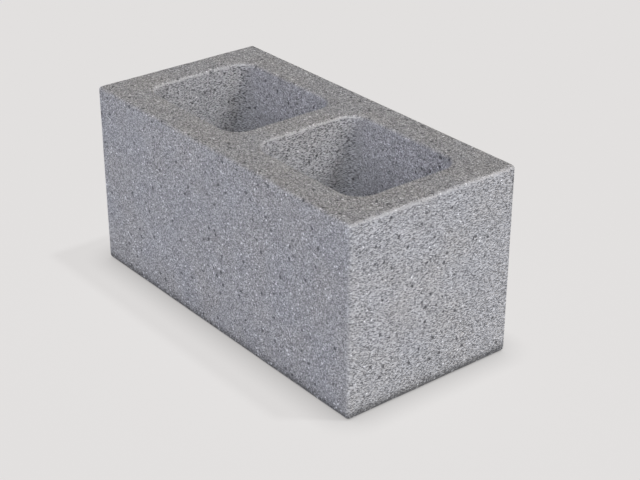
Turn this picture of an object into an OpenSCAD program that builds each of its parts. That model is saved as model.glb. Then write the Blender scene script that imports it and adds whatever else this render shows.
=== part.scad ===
// Hollow concrete block with two cores, standing on its lower bed face.
// The origin is the middle of that face, +X runs along the block and +Z is up.
// Each core goes right through, and its walls lean back towards the bottom, so
// that the webs and shells are thickest at the top, where the mortar is spread.

/* [Block] */
// Length of the block, along X
block_length = 390; // [240:1:600]
// Thickness of the block through the wall it is laid in, along Y
block_width = 190; // [140:1:300]
// Height of the block between its two bed faces
block_height = 190; // [60:1:300]
// Radius of the rounded outer edges
edge_radius = 4; // [1:0.5:12]

/* [Shells and webs] */
// Thickness of each long face shell, just below the upper rim of the cores
shell_thickness = 35; // [20:0.5:50]
// Thickness of the web at each end, just below the upper rim of the cores
end_web = 35; // [20:0.5:60]
// Thickness of each web between two cores, just below their upper rims
centre_web = 30; // [24:0.5:60]

/* [Cores] */
// Number of cores, in a row along the block
core_count = 2; // [1:1:3]
// Radius of the upright corners of a core, just below its upper rim
core_corner_radius = 20; // [6:1:30]
// Radius of the rounded rim at both mouths of a core
rim_radius = 3.5; // [1:0.5:6]
// How far each core wall leans back between the upper and the lower rim
core_draft = 2.5; // [0:0.5:5]

/* [Hidden] */
$fn = 48;

core_length = (block_length - 2 * end_web - (core_count - 1) * centre_web) / core_count;
core_width = block_width - 2 * shell_thickness;
core_pitch = core_length + centre_web;

// A core is cut this far past both bed faces
overrun = 1;

// Half section of the block from the axis of an upright edge out to its surface
module block_section() {
    lower_centre = edge_radius;
    upper_centre = block_height - edge_radius;
    translate([0, lower_centre])
        square([edge_radius, upper_centre - lower_centre]);
    intersection() {
        square([edge_radius, block_height]);
        for (level = [lower_centre, upper_centre])
            translate([0, level])
                circle(edge_radius);
    }
}

// Half section of a core from the axis of an upright corner out to its wall,
// with the wall's lean and the rounded rim at each mouth
module core_section() {
    upper_wall = core_corner_radius;
    lower_wall = core_corner_radius + core_draft;
    upper_rim = block_height - rim_radius;
    difference() {
        polygon([
            [0, -overrun],
            [lower_wall + rim_radius, -overrun],
            [lower_wall + rim_radius, rim_radius],
            [lower_wall, rim_radius],
            [upper_wall, upper_rim],
            [upper_wall + rim_radius, upper_rim],
            [upper_wall + rim_radius, block_height + overrun],
            [0, block_height + overrun]
        ]);
        translate([lower_wall + rim_radius, rim_radius])
            circle(rim_radius);
        translate([upper_wall + rim_radius, upper_rim])
            circle(rim_radius);
    }
}

// Half section given as a child, mirrored and set apart by a rectangle
module widened(reach, low, high) {
    translate([-reach, low])
        square([2 * reach, high - low]);
    for (side = [0, 1])
        mirror([side, 0])
            translate([reach, 0])
                children();
}

// Upright solid with the half section given as a child on all four sides and
// turned about an axis at each of its corners
module round_cornered(half_x, half_y, low, high) {
    for (x = [-half_x, half_x], y = [-half_y, half_y])
        translate([x, y, 0])
            rotate_extrude()
                children();
    rotate([90, 0, 0])
        linear_extrude(2 * half_y, center = true)
            widened(half_x, low, high)
                children();
    rotate([90, 0, 90])
        linear_extrude(2 * half_x, center = true)
            widened(half_y, low, high)
                children();
}

module core() {
    round_cornered(
        core_length / 2 - core_corner_radius,
        core_width / 2 - core_corner_radius,
        -overrun,
        block_height + overrun
    )
        core_section();
}

module concrete_block() {
    color([0.62, 0.62, 0.63])
        difference() {
            round_cornered(
                block_length / 2 - edge_radius,
                block_width / 2 - edge_radius,
                0,
                block_height
            )
                block_section();
            for (i = [0 : core_count - 1])
                translate([(i - (core_count - 1) / 2) * core_pitch, 0, 0])
                    core();
        }
}

concrete_block();
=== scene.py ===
"""Looks of a hollow concrete block with two cores, on a pale studio floor, laid out as an add-on."""
import math
from types import SimpleNamespace
from typing import NamedTuple

import bmesh
import bpy
from bpy.props import FloatProperty, FloatVectorProperty, PointerProperty
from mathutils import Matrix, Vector, noise


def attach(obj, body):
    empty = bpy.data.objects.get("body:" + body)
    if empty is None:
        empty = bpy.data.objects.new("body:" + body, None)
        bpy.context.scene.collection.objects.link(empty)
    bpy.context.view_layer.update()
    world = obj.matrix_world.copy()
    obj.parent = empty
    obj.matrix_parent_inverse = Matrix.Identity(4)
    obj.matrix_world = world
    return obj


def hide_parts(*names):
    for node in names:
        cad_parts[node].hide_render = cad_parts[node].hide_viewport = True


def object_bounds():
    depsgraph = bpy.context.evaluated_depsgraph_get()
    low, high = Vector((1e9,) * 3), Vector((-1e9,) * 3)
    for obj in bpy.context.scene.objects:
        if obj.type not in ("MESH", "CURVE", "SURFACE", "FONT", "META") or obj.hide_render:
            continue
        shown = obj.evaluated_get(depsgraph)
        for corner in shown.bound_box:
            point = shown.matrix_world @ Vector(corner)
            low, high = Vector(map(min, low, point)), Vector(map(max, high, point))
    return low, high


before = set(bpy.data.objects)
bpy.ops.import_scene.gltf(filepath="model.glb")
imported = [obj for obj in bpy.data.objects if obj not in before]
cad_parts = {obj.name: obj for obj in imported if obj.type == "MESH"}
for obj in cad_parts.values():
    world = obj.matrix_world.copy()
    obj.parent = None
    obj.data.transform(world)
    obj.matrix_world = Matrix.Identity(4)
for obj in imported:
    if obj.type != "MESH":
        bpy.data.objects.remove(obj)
CAD_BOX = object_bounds()

bl_info = {
    "name": "Concrete Block",
    "version": (1, 0, 0),
    "blender": (4, 5, 0),
    "location": "3D View > Sidebar > Block",
    "description": "Gives a cast block its rough concrete surface and sets it on a studio floor",
    "category": "Object",
}

NODE = "concrete_block"
PIECE = "cast_block"
MM = 0.001

# Marks on the mesh that the finish reads, from 0 to 1: how much painted light a core's wall gets,
# how much painted highlight an edge gets, or how far a point is part of the faces across the block, which
# are the ends and the webs
CORE_LIGHT = "core_painted_light"
EDGE_HIGHLIGHT = "painted_edge_highlight"
WEB_FACE = "web_face"

# A face this far inside the outer faces belongs to a core
SKIN = 12 * MM
# A rim that is turned up as far as this is no longer a core's wall
RIM_LEVEL = 0.8
# The painted light on a core's walls is at its fullest from this far below the top
CORE_FADE = 60 * MM
# Share of its painted light that a core's wall lacks at the rim, on the webs, and in the corners at the rim
RIM_LOSS = 0.45
WEB_LOSS = 0.6
CORNER_LOSS = 0.1
# Share of painted light that the corners gain between the rim and the depth where it is fullest
CORNER_GAIN = 0.4

# CAD points nearer than this are welded, and faces that turn by less than this angle are joined
WELD = MM / 1000
FLAT_ANGLE = 0.002
# A cut runs through points that lie within this share of a mesh step
SNAP = 1 / 8

# Nearly all values of a noise lie in the wide span, and most of them in the narrow one
WIDE_SPAN = (0.3, 0.7)
NARROW_SPAN = (0.35, 0.65)
# How far, in millimetres, the dust and the clouds are moved off the patterns of the same kind
DUST_MOVE = (13.0, 47.0, 29.0)
CLOUD_MOVE = (91.0, 17.0, 53.0)
# Waves in the outline of a spot, for each of its radii
OUTLINE_WAVES = 0.8
# The tears' painted shade is at its darkest where a core's wall has this much of its painted light
FULL_TEAR_SHADE = 0.25


class Spots(NamedTuple):
    """Spots scattered through the concrete, with lengths in millimetres."""
    spacing: float
    radius: float
    ragged: float
    move: float
    strength: float = 1.0


PALE_GRAINS = Spots(spacing=3.6, radius=0.85, ragged=1.4, move=37.0, strength=0.7)
DARK_GRAINS = Spots(spacing=4.4, radius=0.95, ragged=1.4, move=71.0, strength=0.62)
SPECKS = Spots(spacing=7.0, radius=1.0, ragged=1.4, move=151.0, strength=0.85)
PORES = Spots(spacing=11.0, radius=1.7, ragged=2.0, move=113.0, strength=0.75)
TEAR_RAGGED = 0.8
TEAR_MOVE = 7.0


def length(name, description, default):
    """A property in metres."""
    return FloatProperty(name=name, description=description, default=default, min=0.0,
                         subtype="DISTANCE", unit="LENGTH", precision=5)


def share(name, description, default):
    """A property from 0 to 1."""
    return FloatProperty(name=name, description=description, default=default, min=0.0, max=1.0,
                         subtype="FACTOR")


def angle(name, description, degrees):
    """An angle, given in degrees and kept in radians."""
    return FloatProperty(name=name, description=description, default=math.radians(degrees), subtype="ANGLE")


def colour(name, description, default):
    """A linear colour."""
    return FloatVectorProperty(name=name, description=description, default=default, min=0.0, max=1.0,
                               subtype="COLOR")


class ReliefSettings(bpy.types.PropertyGroup):
    """The unevenness that is modelled in the mesh."""
    mesh_step: length("Mesh step", "Width of the small faces that carry the relief", 2.9 * MM)
    swell_width: length("Swell width", "Width of the slow swells on the cast faces", 32 * MM)
    swell_depth: length("Swell depth", "Depth between the tops and the hollows of the swells", 0.3 * MM)
    grain_width: length("Grain width", "Width of the coarse grains under the skin", 6 * MM)
    grain_depth: length("Grain depth", "Depth between the tops and the hollows of the grains", 0.15 * MM)


class FinishSettings(bpy.types.PropertyGroup):
    """The colours, the painted light and shade, and the fine grain of the concrete."""
    cement: colour("Cement", "Colour of the cement skin", (0.325, 0.325, 0.332))
    warm_cement: colour("Warm cement", "Colour of the browner clouds in the skin", (0.331, 0.325, 0.321))
    # Painted light: paler cement inside the cores, which stands in for the light the cores lack
    lit_core_cement: colour("Core cement", "Colour of the cleaner skin inside the cores", (0.52, 0.52, 0.545))
    # Painted highlight: paler skin on the edges between the top and the sides, where the light catches them
    edge_highlight: share("Edge wear", "How much paler the worn edges are", 0.1)
    # Painted shade at the foot: the skin darkens towards the ground in place of a contact shadow, more on
    # the ends
    foot_shade_height: length("Foot height", "How far up the dirt of the ground goes", 12 * MM)
    foot_shade_tone: share("Foot tone", "How dark the skin is where it meets the ground", 0.38)
    web_foot_shade: share("Web foot", "How much further the dirt of the ground darkens the ends", 0.5)
    pale_sand: colour("Pale sand", "Colour of the palest sand grains", (0.66, 0.66, 0.67))
    dark_sand: colour("Dark sand", "Colour of the darkest sand grains", (0.12, 0.12, 0.13))
    speck: colour("Speck", "Colour of the few near white grains", (0.85, 0.85, 0.86))
    # Painted shade: near black colour in the pores and tears, where the recesses are in shade
    pore_shade: colour("Pore", "Colour inside pores and tears", (0.05, 0.05, 0.055))
    grit_size: length("Grit size", "Width of the grit that makes the skin rough", 1.5 * MM)
    grit_relief: length("Grit relief", "Height of the grit from its hollows to its tops", 1.3 * MM)
    # Painted shade: the hollows between the grit are darker
    grit_hollow_shade: share("Grit contrast", "How much darker the hollows between the grit are", 0.06)
    dust_size: length("Dust size", "Width of the finest grains", 0.85 * MM)
    dust_contrast: share("Dust contrast", "How much the finest grains differ in shade", 1.0)
    sand_size: length("Sand size", "Width of the sand grains", 1.3 * MM)
    sand_contrast: share("Sand contrast", "How much the sand grains differ in shade", 0.36)
    sand_relief: length("Sand relief", "How far a sand grain stands out of the skin", 0.5 * MM)
    patch_size: length("Patch size", "Width of the faint pale and dark patches", 12 * MM)
    patch_contrast: share("Patch contrast", "How much the patches differ in shade", 0.05)
    cloud_size: length("Cloud size", "Width of the browner clouds", 45 * MM)
    # Tears are painted shadow: dark dashes on the ends and webs that stand in for the shade under the grit
    # where the key lamp grazes; they are also sunk as bump
    tear_width: length("Tear width", "Width of the tears left by the mould on ends and webs", 3.0 * MM)
    tear_height: length("Tear height", "Height of the tears", 0.5 * MM)
    tear_fill: share("Tear fill", "Half of a tear's width as a share of the room it has", 0.48)
    tear_depth: length("Tear depth", "Depth of the tears", 0.4 * MM)
    tear_shade: share("Tear tone", "How dark the tears are", 0.78)
    core_tear_shade: share("Core tear tone", "How dark the tears inside the cores are", 1.0)
    # Painted light: the ends and webs get a paler skin with less grain shade, as the lit end shows
    web_light_share: share("Web calm", "How much of the grains' shade is lost on the torn faces", 0.9)
    web_painted_light: FloatProperty(name="Web tone", description="How pale the skin between the tears is",
                            default=1.51, min=0.0, soft_max=2.0, subtype="FACTOR")
    spot_blur: share("Spot blur", "How soft the outlines of grains, pores and tears are", 0.2)
    pore_depth: length("Pore depth", "Depth of the small pores", 0.9 * MM)
    roughness: share("Roughness", "Roughness of the cement skin", 0.9)
    roughness_swing: share("Roughness swing", "How much the grit changes the roughness", 0.06)


class StageSettings(bpy.types.PropertyGroup):
    """The floor and the camera."""
    floor: colour("Floor", "Colour of the floor and of the background", (0.761, 0.745, 0.738))
    floor_paint: share("Floor paint", "How much of its own sun's light the floor gives back", 0.1)
    floor_glow: colour("Floor glow", "Light that the floor sends up to the block", (0.84, 0.87, 0.98))
    floor_width: length("Floor width", "Width of the floor", 12.0)
    # Painted contact shadow: ambient occlusion darkens the floor's own glow near the block
    contact_shade_reach: length("Contact", "Reach of the dark seam where the block stands", 30 * MM)
    seam_shade: share("Seam tone", "How much of the floor's tone is left in the seam", 0.5)
    glow_fade: FloatProperty(name="Glow fade", description="How fast the floor's light fades in the seam",
                             default=4.0, min=0.0)
    core_shade: share("Core shade", "How much of the floor's tone is left inside the cores", 0.55)
    camera_azimuth: angle("Camera azimuth", "Turn of the camera from the front to the right end", 51.46)
    camera_elevation: angle("Camera elevation", "Height of the camera above the horizon", 27.34)
    camera_distance: length("Camera distance", "Distance from the aim to the camera", 1.515)
    camera_lens: FloatProperty(name="Lens", description="Focal length for a sensor of 36 mm", default=86.4,
                               subtype="DISTANCE_CAMERA")
    camera_aim: FloatVectorProperty(name="Aim", description="Point at the middle of the picture",
                                    default=(-0.0070, 0.0354, 0.0533), subtype="XYZ", unit="LENGTH")


class NodeBench:
    """Short calls for building one node tree."""

    def __init__(self, tree):
        self.tree = tree
        tree.nodes.clear()

    def add(self, kind, **settings):
        node = self.tree.nodes.new(kind)
        for name, value in settings.items():
            setattr(node, name, value)
        return node

    def feed(self, socket, value):
        """Links an output to a socket, or sets the socket's own value."""
        if isinstance(value, bpy.types.NodeSocket):
            self.tree.links.new(value, socket)
        else:
            socket.default_value = value

    def math(self, operation, first, second=0.0, third=0.0, clamp=False):
        node = self.add("ShaderNodeMath", operation=operation, use_clamp=clamp)
        for socket, value in zip(node.inputs, (first, second, third)):
            self.feed(socket, value)
        return node.outputs[0]

    def scaled(self, vector, factor):
        node = self.add("ShaderNodeVectorMath", operation="SCALE")
        self.feed(node.inputs["Vector"], vector)
        self.feed(node.inputs["Scale"], factor)
        return node.outputs["Vector"]

    def stretched(self, vector, factors):
        node = self.add("ShaderNodeVectorMath", operation="MULTIPLY")
        self.feed(node.inputs[0], vector)
        self.feed(node.inputs[1], factors)
        return node.outputs["Vector"]

    def moved(self, vector, offset):
        node = self.add("ShaderNodeVectorMath", operation="ADD")
        self.feed(node.inputs[0], vector)
        self.feed(node.inputs[1], offset)
        return node.outputs["Vector"]

    def noise(self, vector, scale, detail, roughness=0.5):
        node = self.add("ShaderNodeTexNoise")
        self.feed(node.inputs["Vector"], vector)
        self.feed(node.inputs["Scale"], scale)
        self.feed(node.inputs["Detail"], detail)
        self.feed(node.inputs["Roughness"], roughness)
        return node.outputs["Fac"]

    def cells(self, vector, scale):
        """Cells round scattered points, with each point's distance and each cell's own colour."""
        node = self.add("ShaderNodeTexVoronoi")
        self.feed(node.inputs["Vector"], vector)
        self.feed(node.inputs["Scale"], scale)
        return node.outputs

    def mark(self, name):
        """A number that the mesh holds for each of its points."""
        return self.add("ShaderNodeAttribute", attribute_type="GEOMETRY", attribute_name=name).outputs["Fac"]

    def ramp(self, value, low, high, to_low=0.0, to_high=1.0, smooth=False):
        node = self.add("ShaderNodeMapRange", interpolation_type="SMOOTHSTEP" if smooth else "LINEAR")
        for name, amount in (("Value", value), ("From Min", low), ("From Max", high),
                             ("To Min", to_low), ("To Max", to_high)):
            self.feed(node.inputs[name], amount)
        return node.outputs["Result"]

    def mix(self, factor, first, second, blend="MIX", kind="RGBA"):
        node = self.add("ShaderNodeMix", data_type=kind, blend_type=blend)
        self.feed(node.inputs["Factor"], factor)
        self.feed(node.inputs["A"], first)
        self.feed(node.inputs["B"], second)
        return node.outputs["Result"]


def socket_colour(value):
    """A colour property as a colour socket takes it."""
    return (*value, 1.0)


def spots_group(blur):
    """Node group: round spots with ragged outlines, scattered through the material."""
    group = bpy.data.node_groups.new("Scattered spots", "ShaderNodeTree")
    for name, kind in (("Vector", "NodeSocketVector"), ("Spacing", "NodeSocketFloat"),
                       ("Radius", "NodeSocketFloat"), ("Ragged", "NodeSocketFloat")):
        group.interface.new_socket(name, in_out="INPUT", socket_type=kind)
    group.interface.new_socket("Mask", in_out="OUTPUT", socket_type="NodeSocketFloat")
    bench = NodeBench(group)
    given = bench.add("NodeGroupInput").outputs
    cells = bench.cells(given["Vector"], bench.math("DIVIDE", 1.0, given["Spacing"]))
    distance = bench.math("MULTIPLY", cells["Distance"], given["Spacing"])
    wander = bench.noise(given["Vector"], bench.math("DIVIDE", OUTLINE_WAVES, given["Radius"]), detail=1.0)
    swing = bench.math("MULTIPLY", bench.math("SUBTRACT", wander, 0.5), given["Ragged"])
    edge = bench.math("ADD", bench.math("DIVIDE", distance, given["Radius"]), swing)
    mask = bench.ramp(edge, 1.0, 1.0 - blur, smooth=True)
    bench.feed(bench.add("NodeGroupOutput").inputs["Mask"], mask)
    return group


def concrete_patterns(bench, finish):
    """The patterns that the colour and the relief are made from, all at their real size."""
    group = spots_group(finish.spot_blur)
    in_mm = bench.scaled(bench.add("ShaderNodeTexCoord").outputs["Object"], 1 / MM)

    def spots(kind, vector=in_mm):
        node = bench.add("ShaderNodeGroup", node_tree=group)
        bench.feed(node.inputs["Vector"], bench.moved(vector, (kind.move, kind.move, kind.move)))
        bench.feed(node.inputs["Spacing"], kind.spacing)
        bench.feed(node.inputs["Radius"], kind.radius)
        bench.feed(node.inputs["Ragged"], kind.ragged)
        return node.outputs["Mask"]

    # Each tear has a room of its own width and height, so the spacing is one room
    room = (MM / finish.tear_width, MM / finish.tear_width, MM / finish.tear_height)
    tear = Spots(spacing=1.0, radius=finish.tear_fill, ragged=TEAR_RAGGED, move=TEAR_MOVE)
    # The dark colour of the tears is painted shadow, put only on the ends and webs
    torn = bench.math("MULTIPLY", spots(tear, bench.stretched(in_mm, room)), bench.mark(WEB_FACE))
    # No tears on the painted edge highlights
    off_highlight = bench.math("SUBTRACT", 1.0, bench.mark(EDGE_HIGHLIGHT), clamp=True)
    place = bench.add("ShaderNodeSeparateXYZ")
    bench.feed(place.inputs[0], in_mm)
    sand = bench.cells(in_mm, MM / finish.sand_size)
    sand_shade = bench.add("ShaderNodeSeparateColor")
    bench.feed(sand_shade.inputs["Color"], sand["Color"])
    return SimpleNamespace(
        height=place.outputs["Z"],
        grit=bench.noise(in_mm, MM / finish.grit_size, detail=2.0, roughness=0.8),
        dust=bench.noise(bench.moved(in_mm, DUST_MOVE), MM / finish.dust_size, detail=2.0, roughness=0.6),
        patches=bench.noise(in_mm, MM / finish.patch_size, detail=3.0, roughness=0.6),
        clouds=bench.noise(bench.moved(in_mm, CLOUD_MOVE), MM / finish.cloud_size, detail=2.0),
        sand_shade=sand_shade.outputs["Red"],
        sand_distance=sand["Distance"],
        pale_grains=spots(PALE_GRAINS),
        dark_grains=spots(DARK_GRAINS),
        specks=spots(SPECKS),
        pores=spots(PORES),
        tears=bench.math("MULTIPLY", torn, off_highlight),
    )


def concrete_tone(bench, finish, patterns):
    """How pale the skin is from point to point, where 1 leaves the cement as it is, with painted light on
    the ends and webs, painted shade at the foot and in the grit's hollows, and painted highlights on the
    edges.
    """
    tone = bench.ramp(patterns.sand_shade, 0.0, 1.0, 1 - finish.sand_contrast, 1 + finish.sand_contrast)
    for source, contrast in ((patterns.grit, finish.grit_hollow_shade), (patterns.dust, finish.dust_contrast),
                             (patterns.patches, finish.patch_contrast)):
        tone = bench.math("MULTIPLY", tone, bench.ramp(source, *WIDE_SPAN, 1 - contrast, 1 + contrast))
    web_face = bench.mark(WEB_FACE)
    # Painted light on the ends and webs: paler, with less of the grains' shade
    tone = bench.mix(bench.math("MULTIPLY", web_face, finish.web_light_share), tone, finish.web_painted_light, kind="FLOAT")
    # Painted contact shade: darker towards the bottom, and more so on the ends
    foot_shade = bench.ramp(patterns.height, 0.0, finish.foot_shade_height / MM, finish.foot_shade_tone, 1.0, smooth=True)
    foot_shade = bench.math("POWER", foot_shade, bench.math("MULTIPLY_ADD", web_face, finish.web_foot_shade, 1.0))
    # Painted highlight on the edges
    highlight_gain = bench.ramp(bench.mark(EDGE_HIGHLIGHT), 0.0, 1.0, 1.0, 1 + finish.edge_highlight)
    return bench.math("MULTIPLY", bench.math("MULTIPLY", tone, foot_shade), highlight_gain)


def concrete_colour(bench, finish, patterns):
    """The cement skin in its tone, with paler painted light inside the cores, grains, and painted shade in
    tears and pores over it.
    """
    clouds = bench.ramp(patterns.clouds, *NARROW_SPAN)
    skin = bench.mix(clouds, socket_colour(finish.cement), socket_colour(finish.warm_cement))
    core_painted_light = bench.mark(CORE_LIGHT)
    # Painted light: paler cement inside the cores
    skin = bench.mix(core_painted_light, skin, socket_colour(finish.lit_core_cement))
    tone = concrete_tone(bench, finish, patterns)
    grey = bench.add("ShaderNodeCombineColor")
    for name in ("Red", "Green", "Blue"):
        bench.feed(grey.inputs[name], tone)
    skin = bench.mix(1.0, skin, grey.outputs["Color"], blend="MULTIPLY")
    # Painted shade in the tears, darkest inside the cores
    tear_shade_strength = bench.ramp(core_painted_light, 0.0, FULL_TEAR_SHADE, finish.tear_shade, finish.core_tear_shade)
    for mask, strength, paint in ((patterns.pale_grains, PALE_GRAINS.strength, finish.pale_sand),
                                  (patterns.dark_grains, DARK_GRAINS.strength, finish.dark_sand),
                                  (patterns.specks, SPECKS.strength, finish.speck),
                                  (patterns.tears, tear_shade_strength, finish.pore_shade),
                                  (patterns.pores, PORES.strength, finish.pore_shade)):
        skin = bench.mix(bench.math("MULTIPLY", mask, strength), skin, socket_colour(paint))
    return skin


def concrete_relief(bench, finish, patterns):
    """The roughness that is too fine for the mesh, as a bumped normal."""
    height = bench.math("MULTIPLY", patterns.grit, finish.grit_relief / MM)
    hollow = bench.math("POWER", patterns.sand_distance, 2.0)
    for mask, depth in ((hollow, finish.sand_relief), (patterns.pores, finish.pore_depth),
                        (patterns.tears, finish.tear_depth)):
        height = bench.math("SUBTRACT", height, bench.math("MULTIPLY", mask, depth / MM))
    bump = bench.add("ShaderNodeBump")
    bench.feed(bump.inputs["Strength"], 1.0)
    bench.feed(bump.inputs["Distance"], MM)
    bench.feed(bump.inputs["Height"], height)
    return bump.outputs["Normal"]


def concrete_material(finish):
    """Grey cement with grit, sand grains, tears and pores."""
    material = bpy.data.materials.new("Block concrete")
    material.use_nodes = True
    bench = NodeBench(material.node_tree)
    patterns = concrete_patterns(bench, finish)
    rough = bench.ramp(patterns.grit, *WIDE_SPAN, finish.roughness - finish.roughness_swing,
                       finish.roughness + finish.roughness_swing)
    surface = bench.add("ShaderNodeBsdfPrincipled")
    bench.feed(surface.inputs["Base Color"], concrete_colour(bench, finish, patterns))
    bench.feed(surface.inputs["Roughness"], rough)
    bench.feed(surface.inputs["Normal"], concrete_relief(bench, finish, patterns))
    bench.feed(bench.add("ShaderNodeOutputMaterial").inputs["Surface"], surface.outputs["BSDF"])
    return material


def sliced_mesh(node, step):
    """A CAD node's mesh, cut into small even faces along all three axes, its edges as crisp as in CAD."""
    shape = bmesh.new()
    shape.from_mesh(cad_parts[node].data)
    bmesh.ops.remove_doubles(shape, verts=shape.verts, dist=WELD)
    bmesh.ops.dissolve_limit(shape, angle_limit=FLAT_ANGLE, verts=shape.verts, edges=shape.edges)
    for axis in (2, 1, 0):
        low, high = (corner[axis] for corner in CAD_BOX)
        count = round((high - low) / step)
        across = Vector([float(axis == k) for k in range(3)])
        for cut in range(1, count):
            everything = shape.verts[:] + shape.edges[:] + shape.faces[:]
            bmesh.ops.bisect_plane(shape, geom=everything, dist=step * SNAP,
                                   plane_co=across * (low + (high - low) * cut / count), plane_no=across)
    bmesh.ops.triangulate(shape, faces=shape.faces)
    for face in shape.faces:
        face.smooth = True
    mesh = bpy.data.meshes.new(PIECE)
    shape.to_mesh(mesh)
    shape.free()
    return mesh


def press_relief(mesh, relief):
    """Sinks the points of a mesh below the CAD faces, and marks the painted light on core walls, the painted
    highlight on edges, and the web faces.
    """
    shape = bmesh.new()
    shape.from_mesh(mesh)
    shape.normal_update()
    core_painted_light = shape.verts.layers.float.new(CORE_LIGHT)
    painted_edge_highlight = shape.verts.layers.float.new(EDGE_HIGHLIGHT)
    web_face = shape.verts.layers.float.new(WEB_FACE)
    corner = CAD_BOX[1]
    for vert in shape.verts:
        level = abs(vert.normal.z)
        upright = math.sqrt(max(0.0, 1.0 - level * level))
        across = vert.normal.x ** 2
        inside = min(corner[0] - abs(vert.co.x), corner[1] - abs(vert.co.y)) > SKIN
        deep = min(1.0, (corner[2] - vert.co.z) / CORE_FADE)
        wall = max(0.0, 1.0 - level / RIM_LEVEL) if inside else 0.0
        # The bend of a core's corner and the painted edge highlight are 1 where the face is turned half way
        bend = 4.0 * across * vert.normal.y ** 2
        # Painted light on a core's wall: paler deeper down and in the corners, less at the rim and on the
        # webs
        light_share = 1 - WEB_LOSS * across + bend * (CORNER_GAIN * deep - CORNER_LOSS)
        vert[core_painted_light] = wall * light_share * (1 - RIM_LOSS * (1 - deep))
        # Painted highlight on the edges that turn from the top to the sides
        vert[painted_edge_highlight] = 2.0 * level * upright
        vert[web_face] = min(upright ** 2, 2.0 * across)
        swell = 0.5 + 0.5 * noise.noise(vert.co / relief.swell_width)
        grain = 0.5 + 0.5 * noise.noise(vert.co / relief.grain_width)
        vert.co -= vert.normal * (swell * relief.swell_depth + grain * relief.grain_depth)
    shape.to_mesh(mesh)
    shape.free()


class BLOCK_OT_cast_block(bpy.types.Operator):
    """Make the block's rough concrete surface over the CAD block"""
    bl_idname = "block.cast_block"
    bl_label = "Cast Block"

    def execute(self, context):
        scene = context.scene
        mesh = sliced_mesh(NODE, scene.block_relief.mesh_step)
        press_relief(mesh, scene.block_relief)
        mesh.materials.append(concrete_material(scene.block_finish))
        piece = bpy.data.objects.new(PIECE, mesh)
        scene.collection.objects.link(piece)
        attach(piece, "root")
        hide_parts(NODE)
        return {"FINISHED"}


# What a lamp lights
BLOCK = "block"
FLOOR = "floor"


class Lamp(NamedTuple):
    """A far lamp, in degrees; at a strength of 1 a face turned to it shows its colour as written."""
    name: str
    azimuth: float
    elevation: float
    strength: float
    spread: float
    tint: tuple
    lights: str


FLOOR_SUN = Lamp("Floor sun", 138.0, 71.5, 0.6, 4.0, (1.0, 1.0, 1.0), FLOOR)
LAMPS = (
    FLOOR_SUN,
    Lamp("High sun", 138.0, 71.5, 0.125, 4.0, (1.0, 0.78, 0.55), BLOCK),
    Lamp("Key", 105.0, 24.0, 0.31, 12.0, (1.0, 1.0, 1.0), BLOCK),
    Lamp("Wide key", 105.0, 24.0, 0.265, 40.0, (0.95, 0.94, 1.0), BLOCK),
    Lamp("Side", 70.0, 40.0, 0.34, 60.0, (0.98, 1.0, 1.0), BLOCK),
    Lamp("Front", -5.0, 26.0, 0.45, 50.0, (0.86, 0.87, 1.0), BLOCK),
    Lamp("Back", 230.0, 5.0, 0.3, 40.0, (0.9, 1.0, 1.0), BLOCK),
)
SENSOR_WIDTH = 36.0


def seen_rays(bench):
    """1 for rays that show a thing to the camera, straight or mirrored, and 0 for rays that light."""
    paths = bench.add("ShaderNodeLightPath").outputs
    seen = bench.math("MAXIMUM", paths["Is Camera Ray"], paths["Is Glossy Ray"])
    return bench.math("MAXIMUM", seen, paths["Is Transmission Ray"])


def floor_material(stage):
    """The pale floor, with a painted contact shadow where the block stands, painted shade inside the cores,
    its own sun's faint shadow and the glow it sends to the block.
    """
    material = bpy.data.materials.new("Studio floor")
    material.use_nodes = True
    bench = NodeBench(material.node_tree)
    seen = seen_rays(bench)
    contact_shade = bench.add("ShaderNodeAmbientOcclusion")
    bench.feed(contact_shade.inputs["Distance"], stage.contact_shade_reach)
    sun_light = FLOOR_SUN.strength * math.sin(math.radians(FLOOR_SUN.elevation)) * stage.floor_paint
    open_floor = [tone - sun_light for tone in stage.floor]
    look = bench.mix(seen, socket_colour(stage.floor_glow), socket_colour(open_floor))
    place = bench.add("ShaderNodeSeparateXYZ")
    bench.feed(place.inputs[0], bench.add("ShaderNodeTexCoord").outputs["Object"])
    within = [bench.math("LESS_THAN", bench.math("ABSOLUTE", place.outputs[axis]), reach - SKIN)
              for axis, reach in zip("XY", CAD_BOX[1])]
    shade = bench.ramp(bench.math("MULTIPLY", *within), 0.0, 1.0, 1.0, stage.core_shade)
    # Painted contact shadow, and painted shade on the floor inside the cores
    seen_contact_shade = bench.math("MULTIPLY", bench.ramp(contact_shade.outputs["AO"], 0.0, 1.0, stage.seam_shade, 1.0), shade)
    shaded_glow = bench.math("POWER", contact_shade.outputs["AO"], stage.glow_fade)
    glow = bench.add("ShaderNodeEmission")
    bench.feed(glow.inputs["Color"], look)
    bench.feed(glow.inputs["Strength"], bench.mix(seen, shaded_glow, seen_contact_shade, kind="FLOAT"))
    diffuse = bench.add("ShaderNodeBsdfDiffuse")
    bench.feed(diffuse.inputs["Color"], socket_colour([stage.floor_paint] * 3))
    both = bench.add("ShaderNodeAddShader")
    bench.feed(both.inputs[0], glow.outputs["Emission"])
    bench.feed(both.inputs[1], diffuse.outputs["BSDF"])
    bench.feed(bench.add("ShaderNodeOutputMaterial").inputs["Surface"], both.outputs["Shader"])
    return material


def studio_world(stage):
    """No light of its own; rays that see the background see the floor's colour."""
    world = bpy.data.worlds.new("Studio")
    world.use_nodes = True
    bench = NodeBench(world.node_tree)
    backdrop = bench.add("ShaderNodeBackground")
    bench.feed(backdrop.inputs["Color"], socket_colour(stage.floor))
    bench.feed(backdrop.inputs["Strength"], seen_rays(bench))
    bench.feed(bench.add("ShaderNodeOutputWorld").inputs["Surface"], backdrop.outputs[0])
    return world


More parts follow.
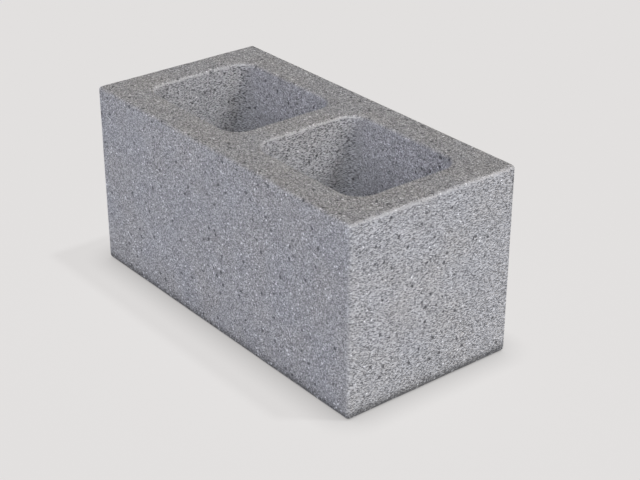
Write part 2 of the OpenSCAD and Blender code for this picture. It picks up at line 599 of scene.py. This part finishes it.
def direction(azimuth, elevation):
    """Unit vector towards a place round the block; azimuth 0 is the front, a quarter turn the right end."""
    flat = math.cos(elevation)
    return Vector((math.sin(azimuth) * flat, -math.cos(azimuth) * flat, math.sin(elevation)))


def soft_sun(lamp, lit):
    """A far lamp, which lights every part of a face alike; the collection says what it lights."""
    light = bpy.data.lights.new(lamp.name, "SUN")
    light.energy = lamp.strength * math.pi
    light.angle = math.radians(lamp.spread)
    light.color = lamp.tint
    holder = bpy.data.objects.new(lamp.name, light)
    towards = direction(math.radians(lamp.azimuth), math.radians(lamp.elevation))
    holder.rotation_euler = towards.to_track_quat("Z", "Y").to_euler()
    bpy.context.scene.collection.objects.link(holder)
    holder.light_linking.receiver_collection = lit


def studio_camera(stage):
    """The camera, looking at the aim from its azimuth and elevation."""
    camera = bpy.data.cameras.new("Camera")
    camera.lens = stage.camera_lens
    camera.sensor_width = SENSOR_WIDTH
    holder = bpy.data.objects.new("Camera", camera)
    towards = direction(stage.camera_azimuth, stage.camera_elevation)
    holder.location = Vector(stage.camera_aim) + towards * stage.camera_distance
    holder.rotation_euler = towards.to_track_quat("Z", "Y").to_euler()
    bpy.context.scene.collection.objects.link(holder)
    bpy.context.scene.camera = holder


class BLOCK_OT_studio(bpy.types.Operator):
    """Set up the floor, the light and the camera"""
    bl_idname = "block.studio"
    bl_label = "Studio"

    def execute(self, context):
        scene = context.scene
        stage = scene.block_stage
        shape = bmesh.new()
        bmesh.ops.create_grid(shape, x_segments=1, y_segments=1, size=stage.floor_width / 2)
        mesh = bpy.data.meshes.new("studio_floor")
        shape.to_mesh(mesh)
        shape.free()
        floor = bpy.data.objects.new("studio_floor", mesh)
        mesh.materials.append(floor_material(stage))
        scene.collection.objects.link(floor)
        scene.world = studio_world(stage)
        lit = {}
        for name, state in ((FLOOR, "INCLUDE"), (BLOCK, "EXCLUDE")):
            lit[name] = bpy.data.collections.new(f"Lit as {name}")
            lit[name].objects.link(floor)
            lit[name].collection_objects[0].light_linking.link_state = state
        for lamp in LAMPS:
            soft_sun(lamp, lit[lamp.lights])
        studio_camera(stage)
        scene.view_settings.view_transform = "Standard"
        return {"FINISHED"}


class BLOCK_PT_sidebar(bpy.types.Panel):
    """The block's settings and commands"""
    bl_label = "Concrete Block"
    bl_idname = "BLOCK_PT_sidebar"
    bl_space_type = "VIEW_3D"
    bl_region_type = "UI"
    bl_category = "Block"

    def draw(self, context):
        scene = context.scene
        for title, settings in (("Relief", scene.block_relief), ("Finish", scene.block_finish),
                                ("Stage", scene.block_stage)):
            box = self.layout.box()
            box.label(text=title)
            for name in settings.__annotations__:
                box.prop(settings, name)
        self.layout.operator(BLOCK_OT_cast_block.bl_idname)
        self.layout.operator(BLOCK_OT_studio.bl_idname)


CLASSES = (ReliefSettings, FinishSettings, StageSettings, BLOCK_OT_cast_block, BLOCK_OT_studio,
           BLOCK_PT_sidebar)


def register():
    for cls in CLASSES:
        bpy.utils.register_class(cls)
    bpy.types.Scene.block_relief = PointerProperty(type=ReliefSettings)
    bpy.types.Scene.block_finish = PointerProperty(type=FinishSettings)
    bpy.types.Scene.block_stage = PointerProperty(type=StageSettings)


def unregister():
    del bpy.types.Scene.block_stage
    del bpy.types.Scene.block_finish
    del bpy.types.Scene.block_relief
    for cls in reversed(CLASSES):
        bpy.utils.unregister_class(cls)


def main():
    register()
    bpy.ops.block.cast_block()
    bpy.ops.block.studio()


if __name__ == "__main__":
    main()
